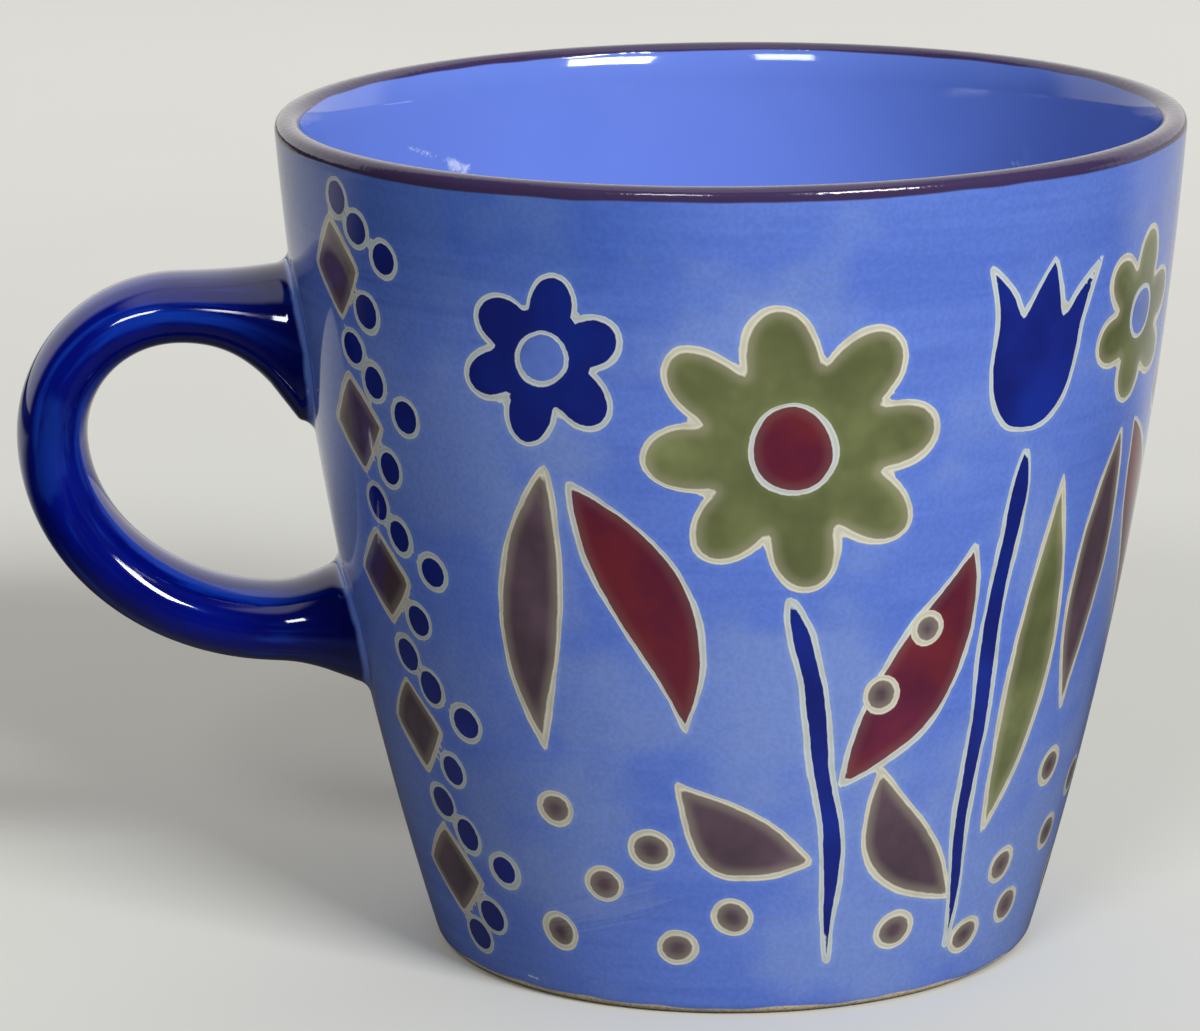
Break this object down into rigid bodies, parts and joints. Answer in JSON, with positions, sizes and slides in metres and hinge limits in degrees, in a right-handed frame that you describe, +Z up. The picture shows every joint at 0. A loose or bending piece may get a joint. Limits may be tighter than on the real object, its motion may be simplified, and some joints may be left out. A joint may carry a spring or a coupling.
{
  "type": "mug",
  "caption": "Tapering stoneware mug with a bowed wall, a rounded lip, a foot ring and one looped handle with swelled roots.",
  "frame": {"origin": "centre of the foot, on the surface that the mug stands on", "axes": "+Z up along the cup's axis, -X towards the handle, whose loop lies in the XZ plane"},
  "size_m": [0.1293, 0.1, 0.0935],
  "materials": {
    "glazed_body": "gloss glaze"
  },
  "bodies": {
    "root": {"mug": "glazed_body"}
  },
  "joints": []
}
